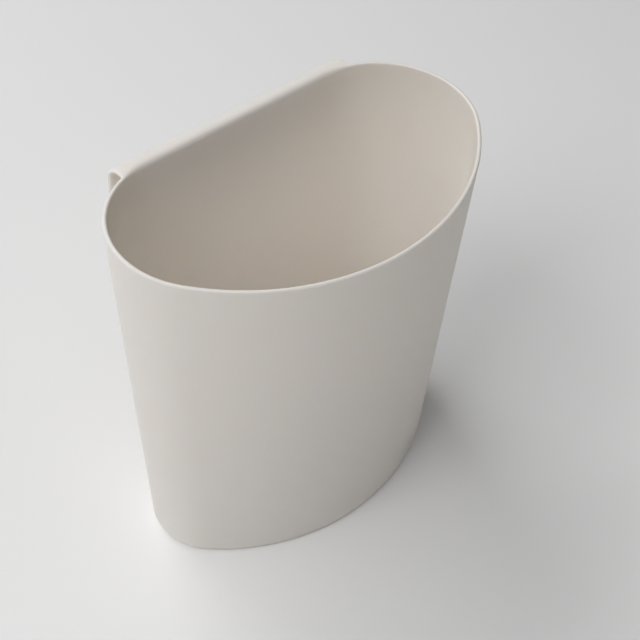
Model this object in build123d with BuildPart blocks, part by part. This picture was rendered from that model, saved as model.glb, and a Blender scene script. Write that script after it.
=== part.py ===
"""Hook-over waste bin: a tapered D-shaped tub moulded in one piece with its rear hook.

Millimetres, +Z up. The origin is on the standing surface, under the middle of the overall
length, width and depth. The rounded front faces -Y, and the hook is at the back, on +Y.
"""
from build123d import *
from math import atan2, cos, degrees, sin
import os

os.makedirs("parts", exist_ok=True)

# ---- Tub: outside sizes at the rim, and how far the base steps in from them ----
bin_width = 120.0
bin_depth = 70.0
bin_height = 126.0
rim_corner_radius = 27.0
base_side_inset = 4.5
base_front_inset = 4.5
base_back_inset = 13.3
base_corner_radius = 18.8
base_edge_radius = 2.0

# ---- Walls ----
wall = 1.3
floor_thickness = 1.8
floor_corner_radius = 2.5
foot_ring_width = 5.0
foot_ring_height = 0.6
edge_rounding = 0.42 * wall

# ---- Hook: a plate level with the rim, a quarter-round crown and a leg behind the back wall ----
hook_width = 83.2
hook_gap = 5.1
hook_drop = 17.0
hook_land = 0.2
hook_corner_radius = 6.0

# ---- Soft strip bonded to the inner face of the hook's leg ----
strip_thickness = 0.6
strip_height = 8.0
strip_corner_radius = 1.5
strip_end_margin = 6.0
strip_bottom_margin = 2.0
groove_count = 3
groove_spacing = 2.0
groove_width = 0.8
groove_depth = 0.25
groove_end_margin = 3.0

# ---- Soft bumpers low on the back wall ----
bumper_radius = 6.0
bumper_thickness = 3.0
bumper_edge_radius = 1.2
bumper_spacing = 50.0
bumper_height = 24.0

# ---- Places worked out from the sizes above ----
hook_reach = hook_gap + wall
back_y = (bin_depth - hook_reach) / 2
front_y = back_y - bin_depth
leg_inner_y = back_y + hook_gap
leg_outer_y = back_y + hook_reach
leg_bottom = bin_height - hook_drop
crown_radius = hook_reach - hook_land
crown_centre = (back_y + hook_land, bin_height - crown_radius)
back_lean = atan2(base_back_inset, bin_height)


def d_outline(half_width, rear_y, nose_y, corner_radius):
    """Closed D: a straight back, two round corners, and one front arc that they run into."""
    span = half_width - corner_radius
    rise = rear_y - nose_y - corner_radius
    nose_radius = (span**2 + rise**2 - corner_radius**2) / (2 * (rise - corner_radius))
    nose_centre_y = nose_y + nose_radius
    corner_centre_y = rear_y - corner_radius
    join = degrees(atan2(corner_centre_y - nose_centre_y, span))
    with BuildLine() as outline:
        Line((-span, rear_y), (span, rear_y))
        CenterArc((span, corner_centre_y), corner_radius, 90, join - 90)
        CenterArc((0, nose_centre_y), nose_radius, join, -(180 + 2 * join))
        CenterArc((-span, corner_centre_y), corner_radius, 180 - join, join - 90)
    return outline.line


def tub_outline(height, inward):
    """The tub's D at a height, moved inward from the outside face."""
    share = height / bin_height
    inset_left = 1 - share
    return d_outline(
        bin_width / 2 - inset_left * base_side_inset - inward,
        back_y - inset_left * base_back_inset - inward,
        front_y + inset_left * base_front_inset + inward,
        base_corner_radius + share * (rim_corner_radius - base_corner_radius) - inward,
    )


def level_faces(part, height):
    """Horizontal faces of a part at one height."""
    return [face for face in part.faces().filter_by(Axis.Z) if abs(face.center().Z - height) < 0.01]


# ---- Cavity: the space inside the walls, from the floor up ----
with BuildPart() as cavity:
    for height in (floor_thickness, bin_height):
        with BuildSketch(Plane.XY.offset(height)):
            add(tub_outline(height, wall))
            make_face()
    loft(ruled=True)
    fillet(level_faces(cavity, floor_thickness)[0].edges(), floor_corner_radius)

# ---- Hook: plate, crown and leg; the plate starts over the middle of the tub ----
with BuildPart() as hook:
    with BuildSketch(Plane.YZ.offset(-hook_width / 2)):
        with BuildLine():
            Line((0, bin_height), (crown_centre[0], bin_height))
            CenterArc(crown_centre, crown_radius, 90, -90)
            Line((leg_outer_y, crown_centre[1]), (leg_outer_y, leg_bottom))
            Line((leg_outer_y, leg_bottom), (leg_inner_y, leg_bottom))
            Line((leg_inner_y, leg_bottom), (leg_inner_y, crown_centre[1]))
            CenterArc(crown_centre, crown_radius - wall, 0, 90)
            Line((crown_centre[0], bin_height - wall), (0, bin_height - wall))
            Line((0, bin_height - wall), (0, bin_height))
        make_face()
    extrude(amount=hook_width)
    fillet(level_faces(hook, leg_bottom)[0].edges().filter_by(Axis.Y), hook_corner_radius)
    leg_edges = hook.faces().filter_by(Axis.Y).edges()
    end_edges = hook.faces().filter_by(Axis.X).edges()
    leg_rim = leg_edges.filter_by(lambda edge: edge.center().Z < crown_centre[1] - edge_rounding)
    end_rim = end_edges.filter_by(lambda edge: edge.center().Z > crown_centre[1])
    end_rim = end_rim.filter_by(lambda edge: edge.length > 2 * wall)
    fillet(leg_rim + end_rim, edge_rounding)

# ---- Bin shell: tub and hook are one moulding, hollowed once they are joined ----
with BuildPart() as bin_shell:
    for height in (0, bin_height):
        with BuildSketch(Plane.XY.offset(height)):
            add(tub_outline(height, 0))
            make_face()
    loft(ruled=True)
    fillet(level_faces(bin_shell, 0)[0].edges(), base_edge_radius)
    fillet(level_faces(bin_shell, bin_height)[0].edges(), edge_rounding)
    with BuildSketch():
        add(tub_outline(0, foot_ring_width))
        make_face()
    extrude(amount=foot_ring_height, mode=Mode.SUBTRACT)
    add(hook.part)
    add(cavity.part, mode=Mode.SUBTRACT)
    mouth = level_faces(bin_shell, bin_height)[0].inner_wires()[0]
    fillet(mouth.edges(), edge_rounding)
bin_shell.part.label = "bin_shell"
export_step(bin_shell.part, "parts/bin_shell.step")

# ---- Grip strip: lies flat on the leg's inner face, with lengthwise grooves towards the wall ----
strip_length = hook_width - 2 * strip_end_margin
strip_middle = leg_bottom + strip_bottom_margin + strip_height / 2
leg_face = Plane.XZ.offset(-leg_inner_y)
with BuildPart() as hook_grip_strip:
    with BuildSketch(leg_face):
        with Locations((0, strip_middle)):
            RectangleRounded(strip_length, strip_height, strip_corner_radius)
    extrude(amount=strip_thickness)
    with BuildSketch(leg_face.offset(strip_thickness)):
        with Locations((0, strip_middle)):
            with GridLocations(0, groove_spacing, 1, groove_count):
                SlotOverall(strip_length - 2 * groove_end_margin, groove_width)
    extrude(amount=-groove_depth, mode=Mode.SUBTRACT)
hook_grip_strip.part.label = "hook_grip_strip"
export_step(hook_grip_strip.part, "parts/hook_grip_strip.step")

# ---- Back bumpers: two soft discs, flat on the leaning back wall ----
bumper_y = back_y - base_back_inset * (1 - bumper_height / bin_height)
for name, side in (("back_bumper_left", -1), ("back_bumper_right", 1)):
    seat = Plane(
        origin=(side * bumper_spacing / 2, bumper_y, bumper_height),
        x_dir=(1, 0, 0),
        z_dir=(0, cos(back_lean), -sin(back_lean)),
    )
    with BuildPart() as bumper:
        with BuildSketch(seat):
            Circle(bumper_radius)
        extrude(amount=bumper_thickness)
        fillet(bumper.edges().sort_by(Axis.Y)[-1], bumper_edge_radius)
    bumper.part.label = name
    export_step(bumper.part, f"parts/{name}.step")
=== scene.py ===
"""Hook-over waste bin: a moulded shell with its rear hook, soft pads, and a small studio round them.

Metres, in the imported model's own frame: +Z up, the hook towards +Y, the round front towards -Y.
"""

from math import atan2, cos, pi, radians, sin, sqrt

import bmesh
import bpy
from bpy.props import FloatProperty, FloatVectorProperty, PointerProperty
from mathutils import Matrix, Vector


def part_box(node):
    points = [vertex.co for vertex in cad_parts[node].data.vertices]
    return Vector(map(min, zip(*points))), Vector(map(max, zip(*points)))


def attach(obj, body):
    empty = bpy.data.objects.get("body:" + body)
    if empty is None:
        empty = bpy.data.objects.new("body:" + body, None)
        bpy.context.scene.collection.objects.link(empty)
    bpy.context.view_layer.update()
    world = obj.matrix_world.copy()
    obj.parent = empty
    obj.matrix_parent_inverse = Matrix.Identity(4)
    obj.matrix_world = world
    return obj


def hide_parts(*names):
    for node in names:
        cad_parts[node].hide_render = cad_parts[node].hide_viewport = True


bl_info = {
    "name": "Hook-over Waste Bin",
    "version": (1, 0, 0),
    "blender": (4, 5, 0),
    "location": "View3D > Sidebar > Waste Bin",
    "description": "Builds a moulded hook-over waste bin, its soft pads and a plain studio",
    "category": "Add Mesh",
}

MM = 0.001
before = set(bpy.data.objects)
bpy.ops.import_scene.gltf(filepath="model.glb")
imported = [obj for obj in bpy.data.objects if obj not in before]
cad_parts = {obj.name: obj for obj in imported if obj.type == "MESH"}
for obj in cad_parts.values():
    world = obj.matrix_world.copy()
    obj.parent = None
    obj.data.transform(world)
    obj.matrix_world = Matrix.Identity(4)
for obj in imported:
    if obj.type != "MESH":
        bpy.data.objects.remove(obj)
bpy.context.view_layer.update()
shell_low, shell_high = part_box("bin_shell")


# ---------------------------------------------------------------- settings


def length(name, description, millimetres):
    """A length property whose default is given in millimetres."""
    return FloatProperty(name=name, description=description, default=millimetres * MM, min=0.0, unit="LENGTH")


def colour(name, description, default):
    """A colour property, as linear red, green and blue."""
    return FloatVectorProperty(
        name=name, description=description, default=default, size=3, min=0.0, max=1.0, subtype="COLOR",
    )


def angle(name, description, degrees):
    """An angle property whose default is given in degrees."""
    return FloatProperty(name=name, description=description, default=radians(degrees), subtype="ANGLE")


def power(name, description, watts):
    """The power of one softbox."""
    return FloatProperty(name=name, description=description, default=watts, unit="POWER")


class ShellSettings(bpy.types.PropertyGroup):
    """Sizes and plastic of the moulded shell"""

    wall: length("Wall", "Thickness of the moulded wall", 1.3)
    rim_corner_radius: length("Rim corner radius", "Radius of the two back corners at the rim", 27.0)
    base_corner_radius: length("Base corner radius", "Radius of the two back corners at the base", 18.8)
    side_inset: length("Side inset", "How far each side steps in from rim to base", 4.5)
    front_inset: length("Front inset", "How far the front steps in from rim to base", 4.5)
    back_inset: length("Back inset", "How far the back wall steps in from rim to base", 13.3)
    base_edge_radius: length("Base edge radius", "Rounding round the bottom edge", 2.0)
    floor_thickness: length("Floor thickness", "Thickness of the floor", 1.8)
    floor_corner_radius: length("Floor corner radius", "Rounding where the floor meets the walls", 2.5)
    foot_ring_width: length("Foot ring width", "From the outer wall to the recess in the base", 5.0)
    foot_ring_height: length("Foot ring height", "Depth of the recess in the base", 0.6)
    hook_width: length("Hook width", "Length of the hook along the back", 83.2)
    hook_gap: length("Hook gap", "From the back wall to the inside of the leg", 5.1)
    hook_drop: length("Hook drop", "From the rim to the lower edge of the leg", 17.0)
    hook_land: length("Hook land", "Flat of the hook's plate before the crown", 0.2)
    hook_corner_radius: length("Leg corner radius", "Radius of the leg's two lower corners", 6.0)
    crown_radius: length("Crown radius", "Soft inner edge where the back wall turns into the hook", 1.8)
    crown_blend: length("Crown blend", "Length over which the soft edge fades into the thin rim", 7.0)
    base_colour: colour("Plastic colour", "Colour of the moulded plastic", (0.905, 0.858, 0.808))
    warm_colour: colour("Warm colour", "Colour where the plastic is a little yellower", (0.905, 0.852, 0.795))
    worn_colour: colour("Worn colour", "Colour of rubbed edges and scuffs", (0.91, 0.872, 0.83))
    dust_colour: colour("Dust colour", "Colour of settled dust", (0.66, 0.63, 0.59))
    roughness: FloatProperty(
        name="Roughness", description="Middle roughness of the matte plastic", default=0.5, min=0.0, max=1.0,
    )


class PadSettings(bpy.types.PropertyGroup):
    """Colours of the soft strip and the bumpers"""

    base_colour: colour("Pad colour", "Colour of the soft pads", (0.40, 0.39, 0.37))
    warm_colour: colour("Warm colour", "Colour where the pads are a little yellower", (0.41, 0.39, 0.355))
    rubbed_colour: colour("Rubbed colour", "Colour of rubbed edges and clinging dust", (0.56, 0.55, 0.53))


class StageSettings(bpy.types.PropertyGroup):
    """Camera, floor, surround and softboxes"""

    azimuth: angle("Azimuth", "Camera's turn round the bin", -45.064)
    elevation: angle("Elevation", "Camera's height above the horizon", 48.047)
    roll: angle("Roll", "Camera's turn about its own axis", 4.911)
    distance: length("Distance", "From the camera to the point it looks at", 394.69)
    aim: FloatVectorProperty(
        name="Aim", description="Point the camera looks at", default=(0.00806, 0.00008, 0.060), size=3,
        subtype="XYZ", unit="LENGTH",
    )
    lens: FloatProperty(name="Lens", description="Focal length in millimetres", default=70.3125, min=1.0)
    floor_colour: colour("Floor colour", "Colour of the floor", (0.92, 0.92, 0.92))
    surround: FloatProperty(
        name="Surround", description="Light from the white surround", default=0.05, min=0.0,
    )
    backdrop: FloatProperty(
        name="Backdrop", description="How white the surround looks to the camera", default=0.9, min=0.0,
    )
    back_power: power("Back power", "Softbox behind the bin", 5.8)
    rear_left_power: power("Rear left power", "Softbox behind and to the left", 3.0)
    left_power: power("Left power", "Softbox on the left", 6.8)
    high_left_power: power("High left power", "High softbox, left of the front", 2.2)
    front_power: power("Front power", "Faint softbox, right of the front", 0.8)


# ---------------------------------------------------------------- the tub's shape


class Outline:
    """The tub's outside D at a share of its height: straight back, two round corners, one front arc."""

    def __init__(self, s, share):
        inset = 1.0 - share
        half_width = shell_high.x - inset * s.side_inset
        self.rear = shell_high.y - s.hook_gap - s.wall - inset * s.back_inset
        self.nose = shell_low.y + inset * s.front_inset
        self.radius = s.base_corner_radius + share * (s.rim_corner_radius - s.base_corner_radius)
        self.span = half_width - self.radius
        rise = self.rear - self.nose - self.radius
        self.nose_radius = (self.span**2 + rise**2 - self.radius**2) / (2.0 * (rise - self.radius))
        self.nose_centre = self.nose + self.nose_radius
        self.join = atan2(self.rear - self.radius - self.nose_centre, self.span)
        self.corner_length = self.radius * (pi / 2 - self.join)
        self.front_length = self.nose_radius * (pi / 2 + self.join)

    def locate(self, along):
        """Edge and share of it at a distance from the back's middle, towards +X."""
        if along <= self.span:
            return "back", along / self.span
        along -= self.span
        if along <= self.corner_length:
            return "corner", along / self.corner_length
        return "front", min(1.0, (along - self.corner_length) / self.front_length)

    def point(self, edge, t, side, inward):
        """Point moved inward from the outline, on the +X side or mirrored to the other."""
        if edge == "back":
            x, y = t * self.span, self.rear - inward
        else:
            if edge == "corner":
                angle = pi / 2 - t * (pi / 2 - self.join)
                centre, radius = (self.span, self.rear - self.radius), self.radius
            else:
                angle = self.join - t * (pi / 2 + self.join)
                centre, radius = (0.0, self.nose_centre), self.nose_radius
            x = centre[0] + (radius - inward) * cos(angle)
            y = centre[1] + (radius - inward) * sin(angle)
        return side * x, y


def direction(azimuth, elevation):
    """Unit vector away from the bin; azimuth 0 is the round front, and it turns towards +X."""
    return Vector((sin(azimuth) * cos(elevation), -cos(azimuth) * cos(elevation), sin(elevation)))


def smooth(t):
    """Soft step from 0 to 1, level at both ends."""
    t = min(1.0, max(0.0, t))
    return t * t * (3.0 - 2.0 * t)


def spread(start, stop, count):
    """Evenly spaced values from start up to, but not including, stop."""
    return [start + (stop - start) * i / count for i in range(count)]


def arc(start, stop, count):
    """Angles in radians from start to stop degrees, both ends included."""
    return [radians(start + (stop - start) * i / count) for i in range(count + 1)]


class ShellMesh:
    """Vertices and faces of the shell's control cage."""

    COLUMN_STEP = 3.0 * MM
    HOOK_END_OFFSETS = (-3.2 * MM, -1.3 * MM, 0.0, 1.0 * MM, 2.6 * MM)
    SAME_PLACE = 1e-9

    # underside: rows in the recess, and the step down to the foot ring as (offset, share of its depth)
    RECESS_INSETS = (16.0 * MM, 8.0 * MM)
    FOOT_STEP = ((0.5 * MM, 1.0), (0.1 * MM, 0.85), (-0.1 * MM, 0.15), (-0.5 * MM, 0.0))
    EDGE_LEAD = 0.2 * MM
    BOTTOM_EDGE = arc(8, 90, 5)

    # outside wall: heights from the base, then drops from the rim
    OUTSIDE_HEIGHTS = [z * MM for z in (3.2, 6.0, 14.0, 30.0, 48.0, 66.0, 84.0, 100.0, 112.0)]
    OUTSIDE_DROPS = (8.0 * MM, 4.2 * MM, 2.5 * MM)

    # rim: angles of one quarter of its round edge, and how far past the hook's end the softer edge is gone
    RIM_QUARTER = arc(0, 60, 2)
    CROWN_LEAD = 0.6 * MM

    # inside: drops from the rim, the rounding at the wall's foot, and rows on the floor
    INSIDE_DROPS = [drop * MM for drop in (5.0, 10.0, 20.0, 36.0, 54.0, 72.0, 90.0, 106.0, 116.0)]
    FLOOR_BEND = arc(0, 82, 5)
    FLOOR_LEAD = 0.6 * MM
    FLOOR_INSETS = (10.0 * MM, 16.0 * MM)

    # hook: its first row behind the wall, its turns, and its round edges
    ROOT_DEPTH = 1.3 * MM
    ROOT_SHARE = 0.45
    CROWN_TURN = arc(74, 0, 5)
    LEG_CORNER = arc(18, 90, 4)
    ROUND_EDGE = arc(-45, 45, 2)

    def __init__(self, s):
        self.s = s
        self.bm = bmesh.new()
        self.height = shell_high.z
        self.rim = Outline(s, 1.0)
        self.hook_end = self.rim.span + self.rim.radius * self._hook_angle()
        self.columns = self._columns()

    def _hook_angle(self):
        """Angle past the straight back at which the rim is as wide as the hook."""
        past = self.s.hook_width / 2 - self.rim.span
        return atan2(past, sqrt(self.rim.radius**2 - past**2))

    def _columns(self):
        """Distances round the rim from the back's middle, as (side, distance), in order round it."""
        half = self.rim.span + self.rim.corner_length + self.rim.front_length
        marks = [self.hook_end + offset for offset in self.HOOK_END_OFFSETS]
        back = spread(0.0, marks[0], round(marks[0] / self.COLUMN_STEP))
        front = spread(marks[-1], half, round((half - marks[-1]) / self.COLUMN_STEP))
        right = back + marks[:-1] + front
        left = [(-1, along) for along in reversed(right[1:])]
        return [(1, along) for along in right] + [(1, half)] + left

    def in_hook(self, column):
        """Whether the hook reaches as far round the rim as a column."""
        return abs(column[1]) <= self.hook_end + self.SAME_PLACE

    def crown(self, along):
        """Radius of the rim's inner edge: half the wall, and softer along the hook."""
        thin = self.s.wall / 2
        share = smooth((self.hook_end + self.CROWN_LEAD - along) / self.s.crown_blend)
        return thin + (self.s.crown_radius - thin) * share

    def ring(self, inward, z):
        """One closed row of vertices at a height, moved inward from the outside."""
        outline = Outline(self.s, z / self.height)
        made = []
        for side, along in self.columns:
            x, y = outline.point(*self.rim.locate(along), side, inward)
            made.append(self.bm.verts.new((x, y, z)))
        return made

    def join(self, lower, upper, skip=()):
        """Faces between two closed rows."""
        count = len(lower)
        for i in range(count):
            k = (i + 1) % count
            if i not in skip:
                self.bm.faces.new((lower[i], lower[k], upper[k], upper[i]))

    def band(self, before, now, flipped=False):
        """Faces between two open rows round an edge."""
        for a, b, c, d in zip(before, before[1:], now[1:], now):
            self.bm.faces.new((d, c, b, a) if flipped else (a, b, c, d))

    def vertex_on_rim(self, column, inward, z):
        """One vertex moved inward from the rim's outline, at any height."""
        side, along = column
        x, y = self.rim.point(*self.rim.locate(along), side, inward)
        return self.bm.verts.new((x, y, z))

    def build(self):
        """The whole cage: up the outside, over the rim, down the inside, and then the hook."""
        slab = self.hook_columns()
        shoulder = self.outside()
        quarter, top = self.rim_outside(slab, shoulder)
        self.inside(top)
        self.hook(slab, shoulder, quarter, top)
        return self.bm

    def hook_columns(self):
        """Places in the row of columns that the hook spans, from its -X end to its +X end."""
        count = len(self.columns)
        hooked = [i for i in range(count) if self.in_hook(self.columns[i])]
        first = max(i for i in hooked if self.columns[i][0] > 0)
        last = min(i for i in hooked if self.columns[i][0] < 0)
        return list(range(last, count)) + list(range(0, first + 1))

    def outside(self):
        """Recess, foot ring, bottom edge and outer wall, up to the level of the hook's underside."""
        s = self.s
        foot, recess, edge = s.foot_ring_width, s.foot_ring_height, s.base_edge_radius
        rows = [(inward, recess) for inward in self.RECESS_INSETS]
        rows += [(foot + offset, recess * share) for offset, share in self.FOOT_STEP]
        rows += [((foot + edge) / 2, 0.0), (edge + self.EDGE_LEAD, 0.0)]
        rows += [(edge - edge * sin(a), edge - edge * cos(a)) for a in self.BOTTOM_EDGE]
        rows += [(0.0, z) for z in self.OUTSIDE_HEIGHTS]
        rows += [(0.0, self.height - drop) for drop in (*self.OUTSIDE_DROPS, s.wall)]
        made = [self.ring(*row) for row in rows]
        for lower, upper in zip(made, made[1:]):
            self.join(lower, upper)
        self.bm.faces.new(list(reversed(made[0])))
        return made[-1]

    def rim_outside(self, slab, shoulder):
        """Outer quarter of the rim, left out along the hook, and the row on its top."""
        half_wall = self.s.wall / 2
        under_hook = set(slab[1:-1])
        quarter = []
        for a in self.RIM_QUARTER:
            inward, z = half_wall * (1 - cos(a)), self.height - half_wall * (1 - sin(a))
            quarter.append([
                None if i in under_hook else self.vertex_on_rim(column, inward, z)
                for i, column in enumerate(self.columns)
            ])
        top = [self.vertex_on_rim(c, self.s.wall - self.crown(c[1]), self.height) for c in self.columns]
        bands = [shoulder] + quarter + [top]
        bridged = set(slab[:-1])
        for lower, upper in zip(bands, bands[1:]):
            self.join(lower, upper, skip=bridged)
        return quarter, top

    def inside(self, top):
        """Inner quarter of the rim with its own radius, inner wall, the rounding at its foot, and floor."""
        wall, low, bend = self.s.wall, self.s.floor_thickness, self.s.floor_corner_radius
        made = [top]
        for a in reversed(self.RIM_QUARTER):
            row = []
            for column in self.columns:
                radius = self.crown(column[1])
                z = self.height - radius * (1 - sin(a))
                row.append(self.vertex_on_rim(column, wall - radius * (1 - cos(a)), z))
            made.append(row)
        rows = [(wall, self.height - drop) for drop in self.INSIDE_DROPS]
        rows += [(wall + bend * (1 - cos(a)), low + bend * (1 - sin(a))) for a in self.FLOOR_BEND]
        rows += [(inward, low) for inward in (wall + bend + self.FLOOR_LEAD, *self.FLOOR_INSETS)]
        made += [self.ring(*row) for row in rows]
        for upper, lower in zip(made, made[1:]):
            self.join(upper, lower)
        self.bm.faces.new(made[-1])

    def hook(self, slab, shoulder, quarter, top):
        """Plate, crown and leg, grown out of the rim, with round edges at its ends and foot."""
        sections = self.hook_sections()
        unders, tops = self.hook_rows(slab, shoulder, top, sections)
        low_row, top_row = [shoulder[i] for i in slab], [top[i] for i in slab]
        for under, upper in zip(unders, tops):
            for k in range(len(slab) - 1):
                self.bm.faces.new((low_row[k], low_row[k + 1], under[k + 1], under[k]))
                self.bm.faces.new((top_row[k + 1], top_row[k], upper[k], upper[k + 1]))
            low_row, top_row = under, upper

        turns = [0.0] + [turn for *_, turn in sections]
        ends = {}
        for k, side in ((0, -1.0), (len(slab) - 1, 1.0)):
            i = slab[k]
            before = [shoulder[i]] + [row[i] for row in quarter] + [top[i]]
            for under, upper, turn in zip(unders, tops, turns):
                now = self.round_edge(under[k], upper[k], Vector((side * cos(turn), 0.0, -sin(turn))))
                self.band(before, now, flipped=side > 0)
                before = now
            ends[k] = before

        down = Vector((0.0, 0.0, -1.0))
        before = ends[0]
        for k in range(1, len(slab)):
            now = ends[k] if k in ends else self.round_edge(unders[-1][k], tops[-1][k], down)
            self.band(before, now)
            before = now

    def hook_sections(self):
        """Sections over the crown and down the leg, each as its middle (y, z), the direction from its
        underside to its top, half its length, and how far its ends have turned towards the foot."""
        s = self.s
        half_wall = s.wall / 2
        radius = s.hook_gap + s.wall - s.hook_land
        middle = radius - half_wall
        centre_y, centre_z = self.rim.rear + s.hook_land, self.height - radius
        half = s.hook_width / 2 - half_wall
        corner = s.hook_corner_radius - half_wall
        straight = s.hook_drop - radius - s.hook_corner_radius
        sections = []
        for a in self.CROWN_TURN:
            y, z = centre_y + middle * cos(a), centre_z + middle * sin(a)
            sections.append((y, z, (cos(a), sin(a)), half, 0.0))
        leg_y = centre_y + radius - half_wall
        for drop in (straight / 2, straight):
            sections.append((leg_y, centre_z - drop, (1.0, 0.0), half, 0.0))
        for a in self.LEG_CORNER:
            z = centre_z - straight - corner * sin(a)
            sections.append((leg_y, z, (1.0, 0.0), half - corner * (1 - cos(a)), a))
        return sections

    def hook_rows(self, slab, shoulder, top, sections):
        """Rows of vertices along the hook's underside and along its top, from the wall to the foot."""
        half_wall = self.s.wall / 2
        new = self.bm.verts.new
        rim_half = shoulder[slab[-1]].co.x
        # first row: close to the wall, so that the hook grows out of the rim with a small radius
        y, _, (out_y, _), half, _ = sections[0]
        under, upper = [], []
        for i in slab:
            low, high = shoulder[i].co, top[i].co
            x = low.x * half / rim_half
            under.append(new((x, low.y + self.ROOT_DEPTH, self.height - self.s.wall)))
            upper.append(new((x, high.y + self.ROOT_SHARE * (y + out_y * half_wall - high.y), self.height)))
        unders, tops = [under], [upper]
        for y, z, (out_y, out_z), half, _ in sections:
            under, upper = [], []
            for i in slab:
                x = shoulder[i].co.x * half / rim_half
                under.append(new((x, y - out_y * half_wall, z - out_z * half_wall)))
                upper.append(new((x, y + out_y * half_wall, z + out_z * half_wall)))
            unders.append(under)
            tops.append(upper)
        return unders, tops

    def round_edge(self, low, high, out):
        """Row from the underside's vertex, round three new ones, to the top's."""
        half_wall = self.s.wall / 2
        middle, lift = (low.co + high.co) / 2, (high.co - low.co) / 2
        made = []
        for a in self.ROUND_EDGE:
            made.append(self.bm.verts.new(middle + lift * sin(a) + out * (half_wall * cos(a))))
        return [low] + made + [high]


# ---------------------------------------------------------------- helpers


def add_object(name, bm, levels):
    """Object with a smooth subdivided mesh, linked to the scene."""
    bmesh.ops.recalc_face_normals(bm, faces=bm.faces)
    mesh = bpy.data.meshes.new(name)
    bm.to_mesh(mesh)
    bm.free()
    for polygon in mesh.polygons:
        polygon.use_smooth = True
    obj = bpy.data.objects.new(name, mesh)
    bpy.context.scene.collection.objects.link(obj)
    if levels:
        modifier = obj.modifiers.new("Smooth surface", "SUBSURF")
        modifier.levels = modifier.render_levels = levels
    return obj


def add_node(tree, kind, inputs=None, **settings):
    """Node whose inputs are set to a value, or linked where the value is a socket."""
    node = tree.nodes.new(kind)
    for name, value in settings.items():
        setattr(node, name, value)
    for name, value in (inputs or {}).items():
        if isinstance(value, bpy.types.NodeSocket):
            tree.links.new(value, node.inputs[name])
        else:
            node.inputs[name].default_value = value
    return node


def maths(tree, operation, first, second=0.0, third=0.0):
    """Result of one Math node; each term is a socket or a number."""
    return add_node(tree, "ShaderNodeMath", {0: first, 1: second, 2: third}, operation=operation).outputs[0]


def change(tree, operation, value, mask, amount):
    """Value plus or minus a share of a mask."""
    return maths(tree, operation, value, maths(tree, "MULTIPLY", mask, amount))


def remap(tree, value, low, high, to_low=0.0, to_high=1.0):
    """Value carried from one range to another, with soft ends."""
    node = add_node(tree, "ShaderNodeMapRange", interpolation_type="SMOOTHSTEP")
    for index, item in enumerate((value, low, high, to_low, to_high)):
        if isinstance(item, bpy.types.NodeSocket):
            tree.links.new(item, node.inputs[index])
        else:
            node.inputs[index].default_value = item
    return node.outputs[0]


def noise(tree, vector, scale, detail=2.0, roughness=0.5):
    """Soft noise between 0 and 1."""
    inputs = {"Vector": vector, "Scale": scale, "Detail": detail, "Roughness": roughness}
    return add_node(tree, "ShaderNodeTexNoise", inputs).outputs["Fac"]


# ---------------------------------------------------------------- shared effects


def new_effect(name, inputs, outputs):
    """Empty node group; inputs are (name, kind, default) and outputs are (name, kind)."""
    tree = bpy.data.node_groups.new(name, "ShaderNodeTree")
    for label, kind, default in inputs:
        socket = tree.interface.new_socket(label, in_out="INPUT", socket_type="NodeSocket" + kind)
        if default is not None:
            socket.default_value = default
    for label, kind in outputs:
        tree.interface.new_socket(label, in_out="OUTPUT", socket_type="NodeSocket" + kind)
    return tree, tree.nodes.new("NodeGroupInput").outputs, tree.nodes.new("NodeGroupOutput").inputs


def mould_grain():
    """Fine pitted texture that a mould leaves: a height, and a mask for uneven gloss."""
    inputs = (("Vector", "Vector", None), ("Scale", "Float", 2400.0), ("Gloss Scale", "Float", 180.0))
    tree, source, result = new_effect("Mould grain", inputs, (("Height", "Float"), ("Gloss", "Float")))
    pits = noise(tree, source["Vector"], source["Scale"], 2.0, 0.55)
    finer = noise(tree, source["Vector"], maths(tree, "MULTIPLY", source["Scale"], 2.3), 1.0)
    height = maths(tree, "ADD", maths(tree, "MULTIPLY", pits, 0.7), maths(tree, "MULTIPLY", finer, 0.3))
    tree.links.new(height, result["Height"])
    tree.links.new(noise(tree, source["Vector"], source["Gloss Scale"], 3.0), result["Gloss"])
    return tree


def colour_drift():
    """Slow change of brightness and warmth over a moulded surface, with a fine speckle."""
    inputs = (("Vector", "Vector", None), ("Colour", "Color", (0.8, 0.8, 0.8, 1.0)),
              ("Warm Colour", "Color", (0.8, 0.78, 0.75, 1.0)), ("Amount", "Float", 0.05),
              ("Scale", "Float", 22.0), ("Speckle Scale", "Float", 1500.0))
    tree, source, result = new_effect("Colour drift", inputs, (("Colour", "Color"),))
    clouds = noise(tree, source["Vector"], source["Scale"], 3.0)
    speckle = noise(tree, source["Vector"], source["Speckle Scale"], 1.0)
    warm = add_node(tree, "ShaderNodeMix", {0: remap(tree, clouds, 0.35, 0.65)}, data_type="RGBA")
    tree.links.new(source["Colour"], warm.inputs[6])
    tree.links.new(source["Warm Colour"], warm.inputs[7])
    blend = maths(tree, "ADD", maths(tree, "MULTIPLY", clouds, 0.65), maths(tree, "MULTIPLY", speckle, 0.35))
    swing = maths(tree, "MULTIPLY", maths(tree, "SUBTRACT", blend, 0.5), source["Amount"])
    shade = add_node(tree, "ShaderNodeHueSaturation", {"Value": maths(tree, "ADD", swing, 1.0)})
    tree.links.new(warm.outputs[2], shade.inputs["Color"])
    tree.links.new(shade.outputs["Color"], result["Colour"])
    return tree


def edge_wear():
    """Mask of convex edges, broken up as handling wears them."""
    inputs = (("Vector", "Vector", None), ("Start", "Float", 0.52), ("Full", "Float", 0.60),
              ("Breakup Scale", "Float", 260.0))
    tree, source, result = new_effect("Edge wear", inputs, (("Mask", "Float"),))
    pointiness = add_node(tree, "ShaderNodeNewGeometry").outputs["Pointiness"]
    edge = remap(tree, pointiness, source["Start"], source["Full"])
    patches = remap(tree, noise(tree, source["Vector"], source["Breakup Scale"], 4.0, 0.6), 0.40, 0.62)
    tree.links.new(maths(tree, "MULTIPLY", edge, patches), result["Mask"])
    return tree


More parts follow.
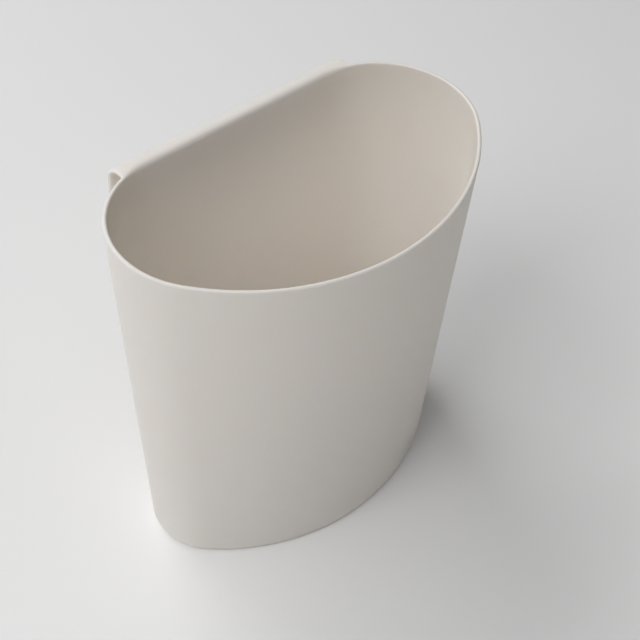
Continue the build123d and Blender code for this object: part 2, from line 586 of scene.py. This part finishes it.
def hairline_scuffs():
    """Mask of short fine rub marks in patches, longer along one axis than across it."""
    inputs = (("Vector", "Vector", None), ("Stretch", "Vector", (900.0, 900.0, 70.0)),
              ("Patch Scale", "Float", 28.0), ("Sparseness", "Float", 0.62))
    tree, source, result = new_effect("Hairline scuffs", inputs, (("Mask", "Float"),))
    stretched = add_node(tree, "ShaderNodeVectorMath", operation="MULTIPLY")
    tree.links.new(source["Vector"], stretched.inputs[0])
    tree.links.new(source["Stretch"], stretched.inputs[1])
    lines = noise(tree, stretched.outputs[0], 1.0, 2.0, 0.6)
    top = maths(tree, "ADD", source["Sparseness"], 0.10)
    marks = remap(tree, lines, source["Sparseness"], top)
    patches = remap(tree, noise(tree, source["Vector"], source["Patch Scale"], 2.0), 0.50, 0.66)
    tree.links.new(maths(tree, "MULTIPLY", marks, patches), result["Mask"])
    return tree


def settled_dust():
    """Mask of thin dust on faces that look up, in soft uneven drifts with specks."""
    inputs = (("Vector", "Vector", None), ("Scale", "Float", 60.0), ("Speck Scale", "Float", 900.0))
    tree, source, result = new_effect("Settled dust", inputs, (("Mask", "Float"),))
    facing = add_node(tree, "ShaderNodeSeparateXYZ")
    tree.links.new(add_node(tree, "ShaderNodeNewGeometry").outputs["Normal"], facing.inputs[0])
    up = remap(tree, facing.outputs["Z"], 0.45, 1.0)
    drifts = remap(tree, noise(tree, source["Vector"], source["Scale"], 4.0), 0.35, 0.75, 0.15, 0.8)
    specks = remap(tree, noise(tree, source["Vector"], source["Speck Scale"], 1.0), 0.66, 0.74)
    cover = maths(tree, "MAXIMUM", drifts, specks)
    tree.links.new(maths(tree, "MULTIPLY", up, cover), result["Mask"])
    return tree


EFFECTS = {
    "Mould grain": mould_grain, "Colour drift": colour_drift, "Edge wear": edge_wear,
    "Hairline scuffs": hairline_scuffs, "Settled dust": settled_dust,
}


def effect(tree, name, vector, **values):
    """One use of a shared effect in a material; the group itself is made only once."""
    group = bpy.data.node_groups.get(name) or EFFECTS[name]()
    node = add_node(tree, "ShaderNodeGroup", node_tree=group)
    tree.links.new(vector, node.inputs["Vector"])
    for label, value in values.items():
        node.inputs[label.replace("_", " ")].default_value = value
    return node.outputs


# ---------------------------------------------------------------- materials


def new_material(name):
    """Material, its tree, its shader, and the object's own coordinates for the effects."""
    material = bpy.data.materials.new(name)
    material.use_nodes = True
    tree = material.node_tree
    place = add_node(tree, "ShaderNodeTexCoord").outputs["Object"]
    return material, tree, tree.nodes["Principled BSDF"], place


def mix_colour(tree, amount, first, second):
    """Mix of two colours, each a socket or three numbers."""
    node = add_node(tree, "ShaderNodeMix", {0: amount}, data_type="RGBA")
    for index, item in ((6, first), (7, second)):
        if isinstance(item, bpy.types.NodeSocket):
            tree.links.new(item, node.inputs[index])
        else:
            node.inputs[index].default_value = (*item, 1.0)
    return node.outputs[2]


def tint(tree, below, over, mask, strength):
    """Colour below, with another laid over it where a mask says."""
    return mix_colour(tree, maths(tree, "MULTIPLY", mask, strength), below, over)


def uneven_roughness(tree, grain, low, high):
    """Roughness that drifts between two values with the grain's uneven gloss."""
    return remap(tree, grain["Gloss"], 0.30, 0.70, low, high)


def bump(tree, shader, height, strength, distance):
    """Fine relief on a shader's normal."""
    node = add_node(tree, "ShaderNodeBump", {"Strength": strength, "Distance": distance, "Height": height})
    tree.links.new(node.outputs["Normal"], shader.inputs["Normal"])


def moulded_plastic(s):
    """Fine matte polypropylene: spark grain, slow colour drift, rubbed edges, faint scuffs and dust."""
    material, tree, shader, place = new_material("Moulded plastic")
    grain = effect(tree, "Mould grain", place, Scale=2600.0, Gloss_Scale=150.0)
    drift = effect(
        tree, "Colour drift", place, Colour=(*s.base_colour, 1.0), Warm_Colour=(*s.warm_colour, 1.0),
        Amount=0.07, Scale=19.0, Speckle_Scale=1700.0,
    )
    wear = effect(tree, "Edge wear", place, Start=0.53, Full=0.62, Breakup_Scale=240.0)["Mask"]
    scuffs = effect(tree, "Hairline scuffs", place, Patch_Scale=24.0, Sparseness=0.60)["Mask"]
    dust = effect(tree, "Settled dust", place, Scale=70.0, Speck_Scale=1000.0)["Mask"]

    colour_now = tint(tree, drift["Colour"], s.worn_colour, wear, 0.20)
    colour_now = tint(tree, colour_now, s.worn_colour, scuffs, 0.12)
    colour_now = tint(tree, colour_now, s.dust_colour, dust, 0.10)
    tree.links.new(colour_now, shader.inputs["Base Color"])

    rough = uneven_roughness(tree, grain, s.roughness - 0.05, s.roughness + 0.05)
    rough = change(tree, "SUBTRACT", rough, wear, 0.10)
    rough = change(tree, "ADD", rough, dust, 0.15)
    rough = change(tree, "SUBTRACT", rough, scuffs, 0.08)
    tree.links.new(rough, shader.inputs["Roughness"])
    relief = change(tree, "SUBTRACT", grain["Height"], scuffs, 0.25)
    bump(tree, shader, relief, strength=0.22, distance=0.00008)
    shader.inputs["IOR"].default_value = 1.49
    shader.inputs["Subsurface Weight"].default_value = 0.35
    shader.inputs["Subsurface Radius"].default_value = (1.0, 0.85, 0.65)
    shader.inputs["Subsurface Scale"].default_value = 0.0025
    return material


def soft_pad(s):
    """Satin elastomer: fine skin, paler rubbed edges, and dust that clings in specks."""
    material, tree, shader, place = new_material("Soft pad")
    grain = effect(tree, "Mould grain", place, Scale=3400.0, Gloss_Scale=320.0)
    drift = effect(
        tree, "Colour drift", place, Colour=(*s.base_colour, 1.0), Warm_Colour=(*s.warm_colour, 1.0),
        Amount=0.16, Scale=90.0, Speckle_Scale=2200.0,
    )
    wear = effect(tree, "Edge wear", place, Start=0.51, Full=0.58, Breakup_Scale=500.0)["Mask"]
    dust = effect(tree, "Settled dust", place, Scale=200.0, Speck_Scale=1800.0)["Mask"]
    colour_now = tint(tree, drift["Colour"], s.rubbed_colour, wear, 0.45)
    colour_now = tint(tree, colour_now, s.rubbed_colour, dust, 0.25)
    tree.links.new(colour_now, shader.inputs["Base Color"])
    rough = change(tree, "SUBTRACT", uneven_roughness(tree, grain, 0.52, 0.68), wear, 0.12)
    tree.links.new(rough, shader.inputs["Roughness"])
    bump(tree, shader, grain["Height"], strength=0.35, distance=0.00006)
    return material


GLOW_START = 0.4
GLOW_FULL = 3.0
GLOW_NEAR = (0.03, 0.03, 0.03)
GLOW_STRENGTH = 0.8


def floor_paper(s):
    """Seamless studio paper: nearly white, faintly mottled, with a soft glow that grows further out."""
    material, tree, shader, place = new_material("Studio floor")
    drift = effect(
        tree, "Colour drift", place, Colour=(*s.floor_colour, 1.0), Warm_Colour=(*s.floor_colour, 1.0),
        Amount=0.02, Scale=3.0, Speckle_Scale=900.0,
    )
    grain = effect(tree, "Mould grain", place, Scale=1200.0, Gloss_Scale=60.0)
    tree.links.new(drift["Colour"], shader.inputs["Base Color"])
    tree.links.new(uneven_roughness(tree, grain, 0.88, 0.96), shader.inputs["Roughness"])
    shader.inputs["Specular IOR Level"].default_value = 0.1
    distance = add_node(tree, "ShaderNodeVectorMath", operation="LENGTH")
    tree.links.new(place, distance.inputs[0])
    far = remap(tree, distance.outputs["Value"], GLOW_START, GLOW_FULL)
    glow = mix_colour(tree, far, GLOW_NEAR, s.floor_colour)
    tree.links.new(glow, shader.inputs["Emission Color"])
    shader.inputs["Emission Strength"].default_value = GLOW_STRENGTH
    return material


# ---------------------------------------------------------------- operators


class BIN_OT_shell(bpy.types.Operator):
    """Build the moulded shell: tub, floor, rim and hook in one piece"""

    bl_idname = "waste_bin.shell"
    bl_label = "Build Shell"

    def execute(self, context):
        s = context.scene.bin_shell
        obj = add_object("moulded_shell", ShellMesh(s).build(), 2)
        obj.data.materials.append(moulded_plastic(s))
        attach(obj, "root")
        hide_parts("bin_shell")
        return {"FINISHED"}


class BIN_OT_pads(bpy.types.Operator):
    """Finish the soft strip in the hook and the bumpers on the back wall"""

    bl_idname = "waste_bin.pads"
    bl_label = "Finish Soft Pads"

    def execute(self, context):
        s = context.scene.bin_pads
        material = soft_pad(s)
        for name in ("hook_grip_strip", "back_bumper_left", "back_bumper_right"):
            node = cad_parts[name]
            node.data.materials.clear()
            node.data.materials.append(material)
        return {"FINISHED"}


FLOOR_REACH = 12.0
NEAREST_SEEN = 0.01
SOFTBOX_SIZE = 0.7
SOFTBOX_DISTANCE = 1.4

# name, azimuth and elevation in degrees, and the setting that holds its power
SOFTBOXES = (
    ("Back light", 180.0, 50.0, "back_power"),
    ("Rear left light", 225.0, 50.0, "rear_left_power"),
    ("Left light", 272.0, 50.0, "left_power"),
    ("High left light", 315.0, 65.0, "high_left_power"),
    ("Front light", 45.0, 50.0, "front_power"),
)


class BIN_OT_stage(bpy.types.Operator):
    """Set the floor, the soft lights and the camera"""

    bl_idname = "waste_bin.stage"
    bl_label = "Set Stage"

    def execute(self, context):
        s = context.scene.bin_stage
        self.floor(s)
        self.camera(context, s)
        self.surround(context, s)
        context.scene.view_settings.view_transform = "Standard"
        for name, azimuth, elevation, setting in SOFTBOXES:
            self.softbox(context, name, direction(radians(azimuth), radians(elevation)), getattr(s, setting))
        return {"FINISHED"}

    def floor(self, s):
        """Wide floor under the bin."""
        bm = bmesh.new()
        bmesh.ops.create_grid(bm, x_segments=1, y_segments=1, size=FLOOR_REACH)
        floor = add_object("studio_floor", bm, 0)
        floor.data.materials.append(floor_paper(s))

    def camera(self, context, s):
        """Camera that looks at the aim point from the set direction, turned about its own axis."""
        camera = bpy.data.cameras.new("Camera")
        camera.lens = s.lens
        camera.clip_start = NEAREST_SEEN
        back = direction(s.azimuth, s.elevation)
        right = Vector((cos(s.azimuth), sin(s.azimuth), 0.0))
        up = back.cross(right)
        x_axis = right * cos(s.roll) + up * sin(s.roll)
        y_axis = up * cos(s.roll) - right * sin(s.roll)
        turn = Matrix((x_axis, y_axis, back)).transposed()
        obj = bpy.data.objects.new("Camera", camera)
        obj.matrix_world = Matrix.Translation(Vector(s.aim) + back * s.distance) @ turn.to_4x4()
        context.scene.collection.objects.link(obj)
        context.scene.camera = obj

    def surround(self, context, s):
        """White surround that the camera sees bright, but that lights the bin only a little."""
        world = bpy.data.worlds.new("Studio world")
        world.use_nodes = True
        tree = world.node_tree
        background = tree.nodes["Background"].inputs
        background["Color"].default_value = (1.0, 1.0, 1.0, 1.0)
        seen = add_node(tree, "ShaderNodeLightPath").outputs["Is Camera Ray"]
        strength = maths(tree, "MULTIPLY_ADD", seen, s.backdrop - s.surround, s.surround)
        tree.links.new(strength, background["Strength"])
        context.scene.world = world

    def softbox(self, context, name, away, watts):
        """Square softbox that faces the bin's middle from a direction."""
        light = bpy.data.lights.new(name, "AREA")
        light.energy = watts
        light.size = SOFTBOX_SIZE
        place = Matrix.Translation(away * SOFTBOX_DISTANCE + Vector((0.0, 0.0, shell_high.z / 2)))
        obj = bpy.data.objects.new(name, light)
        obj.matrix_world = place @ away.to_track_quat("Z", "Y").to_matrix().to_4x4()
        context.scene.collection.objects.link(obj)


class BIN_PT_panel(bpy.types.Panel):
    """Sidebar panel that lists the bin's pieces and their settings"""

    bl_idname = "BIN_PT_panel"
    bl_label = "Waste Bin"
    bl_space_type = "VIEW_3D"
    bl_region_type = "UI"
    bl_category = "Waste Bin"

    def draw(self, context):
        layout = self.layout
        for operator, group in (
            (BIN_OT_shell, "bin_shell"), (BIN_OT_pads, "bin_pads"), (BIN_OT_stage, "bin_stage"),
        ):
            box = layout.box()
            settings = getattr(context.scene, group)
            for name in settings.__annotations__:
                box.prop(settings, name)
            box.operator(operator.bl_idname)


SETTINGS = {"bin_shell": ShellSettings, "bin_pads": PadSettings, "bin_stage": StageSettings}
CLASSES = (*SETTINGS.values(), BIN_OT_shell, BIN_OT_pads, BIN_OT_stage, BIN_PT_panel)


def register():
    for cls in CLASSES:
        bpy.utils.register_class(cls)
    for name, group in SETTINGS.items():
        setattr(bpy.types.Scene, name, PointerProperty(type=group))


def unregister():
    for name in SETTINGS:
        delattr(bpy.types.Scene, name)
    for cls in reversed(CLASSES):
        bpy.utils.unregister_class(cls)


def main():
    register()
    bpy.ops.waste_bin.shell()
    bpy.ops.waste_bin.pads()
    bpy.ops.waste_bin.stage()


if __name__ == "__main__":
    main()
